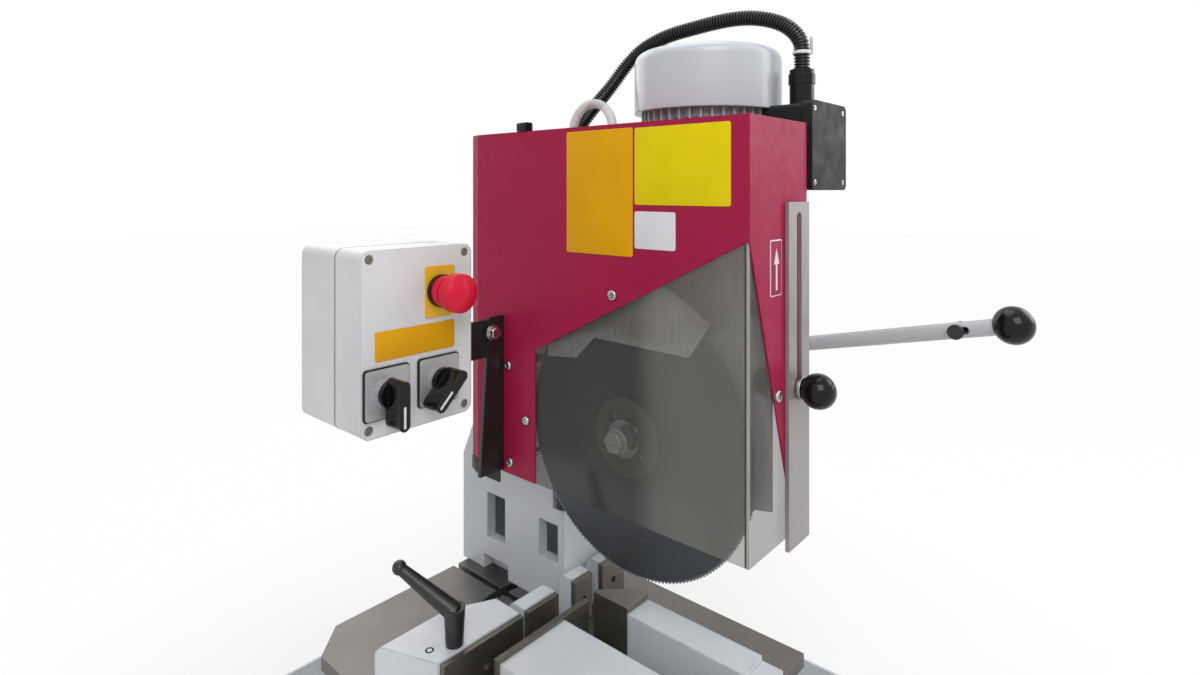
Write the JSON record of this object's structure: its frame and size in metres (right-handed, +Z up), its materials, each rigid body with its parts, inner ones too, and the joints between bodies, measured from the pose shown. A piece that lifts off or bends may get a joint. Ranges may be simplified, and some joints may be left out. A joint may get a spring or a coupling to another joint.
{
  "type": "cold saw",
  "caption": "Vertical-feed cold circular saw head on a swivelling column, with blade hood, motor, feed lever, control box, table and screw vise on a coolant tray.",
  "frame": {"origin": "centre of the floor bolt pattern on the underside of the tray, under the swivel axis", "axes": "+X to the operator's right, +Y away from the operator, +Z up"},
  "size_m": [0.661, 0.8883, 1.0355],
  "materials": {
    "cast_white": "satin",
    "hood_red": "gloss",
    "ground_steel": "satin",
    "dark_steel": "satin",
    "bright_steel": "satin",
    "blade_steel": "satin",
    "sheet_grey": "satin",
    "tray_grey": "satin",
    "black_paint": "satin",
    "motor_grey": "satin",
    "cowl_grey": "satin",
    "lamination": "satin",
    "bronze": "satin",
    "window_clear": "gloss",
    "box_grey": "satin",
    "black_plastic": "gloss",
    "conduit_black": "satin",
    "hose_clear": "gloss",
    "stop_red": "satin",
    "stop_yellow": "satin"
  },
  "bodies": {
    "base": {"chip_tray": "tray_grey", "bed_casting": "cast_white", "table_left": "ground_steel", "table_right": "ground_steel", "fence_left": "cast_white", "fence_blocks": "cast_white", "fence_plates": "dark_steel", "screw_bracket": "cast_white"},
    "vise": {"left_jaw": "cast_white", "left_jaw_plate": "dark_steel", "right_jaw": "cast_white", "right_jaw_block": "dark_steel", "vise_yoke": "cast_white"},
    "vise_drive": {"vise_screw": "bright_steel", "handwheel": "black_paint"},
    "fence_clamp": {"clamp_handle": "black_paint"},
    "column": {"column_casting": "cast_white", "guide_rails": "bright_steel", "feed_rack": "bright_steel", "swivel_bolts": "dark_steel", "strut_tube": "black_paint"},
    "head": {"strut_rod": "bright_steel", "head_housing": "cast_white", "head_slide": "cast_white", "spindle_bearings": "bright_steel", "motor_frame": "motor_grey", "motor_stator": "lamination", "fan_cowl": "cowl_grey", "terminal_box": "conduit_black", "terminal_lid": "conduit_black", "cable_glands": "black_plastic", "conduit": "conduit_black", "coolant_hose": "hose_clear", "hood_back": "sheet_grey", "blade_hood": "hood_red", "hood_window": "window_clear", "hood_posts": "bright_steel", "inner_guard": "sheet_grey", "box_bracket": "black_paint", "control_box": "box_grey", "control_lid": "box_grey", "switch_plates": "box_grey", "stop_collar": "stop_yellow"},
    "lever": {"feed_shaft": "bright_steel", "feed_sector": "bright_steel", "lever_tube": "motor_grey", "lever_ball": "black_plastic"},
    "release": {"release_pin": "black_paint"},
    "blade": {"saw_blade": "blade_steel", "arbor": "bright_steel", "clamp_flange": "dark_steel", "arbor_bolt": "bright_steel", "worm_wheel": "bronze"},
    "motor_drive": {"worm_shaft": "bright_steel", "motor_rotor": "lamination"},
    "guard": {"guard_strip": "sheet_grey"},
    "guard_lock": {"guard_knob": "black_plastic"},
    "stop": {"stop_button": "stop_red"},
    "main_switch": {"main_knob": "black_plastic"},
    "mode_switch": {"mode_knob": "black_plastic"}
  },
  "joints": [
    {"name": "vise_slide", "type": "slide", "parent": "base", "child": "vise", "axis": [0, 1, 0], "range_m": [-0.0601, 0.0351]},
    {"name": "vise_wheel", "type": "hinge", "parent": "base", "child": "vise_drive", "pos_m": [-0.03, -0.4, 0.18], "axis": [0, 1, 0], "range_deg": [-4320, 2520]},
    {"name": "fence_clamp_turn", "type": "hinge", "parent": "base", "child": "fence_clamp", "pos_m": [-0.189, 0.022, 0.218], "axis": [0, 0, 1], "range_deg": [-60, 60]},
    {"name": "swivel", "type": "hinge", "parent": "base", "child": "column", "pos_m": [0, 0, 0.15], "axis": [0, 0, 1], "range_deg": [0, 45]},
    {"name": "head_feed", "type": "slide", "parent": "column", "child": "head", "axis": [0, 0, 1], "range_m": [-0.125, 0], "stiffness_N_per_m": 600, "springref_m": 2.5},
    {"name": "lever_turn", "type": "hinge", "parent": "head", "child": "lever", "pos_m": [0.204, -0.09, 0.528], "axis": [1, 0, 0], "range_deg": [0, 60]},
    {"name": "release_slide", "type": "slide", "parent": "lever", "child": "release", "axis": [0, -0.9744, 0.225], "range_m": [0, 0.01], "stiffness_N_per_m": 300, "springref_m": -0.004},
    {"name": "blade_spin", "type": "hinge", "parent": "head", "child": "blade", "pos_m": [0, -0.11, 0.458], "axis": [1, 0, 0], "continuous": true},
    {"name": "motor_spin", "type": "hinge", "parent": "head", "child": "motor_drive", "pos_m": [0.12, -0.152, 0.458], "axis": [0, 0, 1], "continuous": true},
    {"name": "guard_slide", "type": "slide", "parent": "head", "child": "guard", "axis": [0, 0, -1], "range_m": [0, 0.12]},
    {"name": "guard_knob_turn", "type": "hinge", "parent": "head", "child": "guard_lock", "pos_m": [0.066, -0.339, 0.546], "axis": [0, 1, 0], "range_deg": [0, 360]},
    {"name": "stop_push", "type": "slide", "parent": "head", "child": "stop", "axis": [0, 1, 0], "range_m": [0, 0.006]},
    {"name": "main_switch_turn", "type": "hinge", "parent": "head", "child": "main_switch", "pos_m": [-0.344, -0.083, 0.586], "axis": [0, 1, 0], "range_deg": [0, 90]},
    {"name": "mode_switch_turn", "type": "hinge", "parent": "head", "child": "mode_switch", "pos_m": [-0.283, -0.083, 0.586], "axis": [0, 1, 0], "range_deg": [-90, 0]}
  ],
  "couplings": [
    {"joint": "vise_slide", "follows": "vise_wheel", "m_per_rad": 0.00079577},
    {"joint": "lever_turn", "follows": "head_feed", "rad_per_m": -8.3333},
    {"joint": "blade_spin", "follows": "motor_spin", "ratio": 0.05}
  ]
}
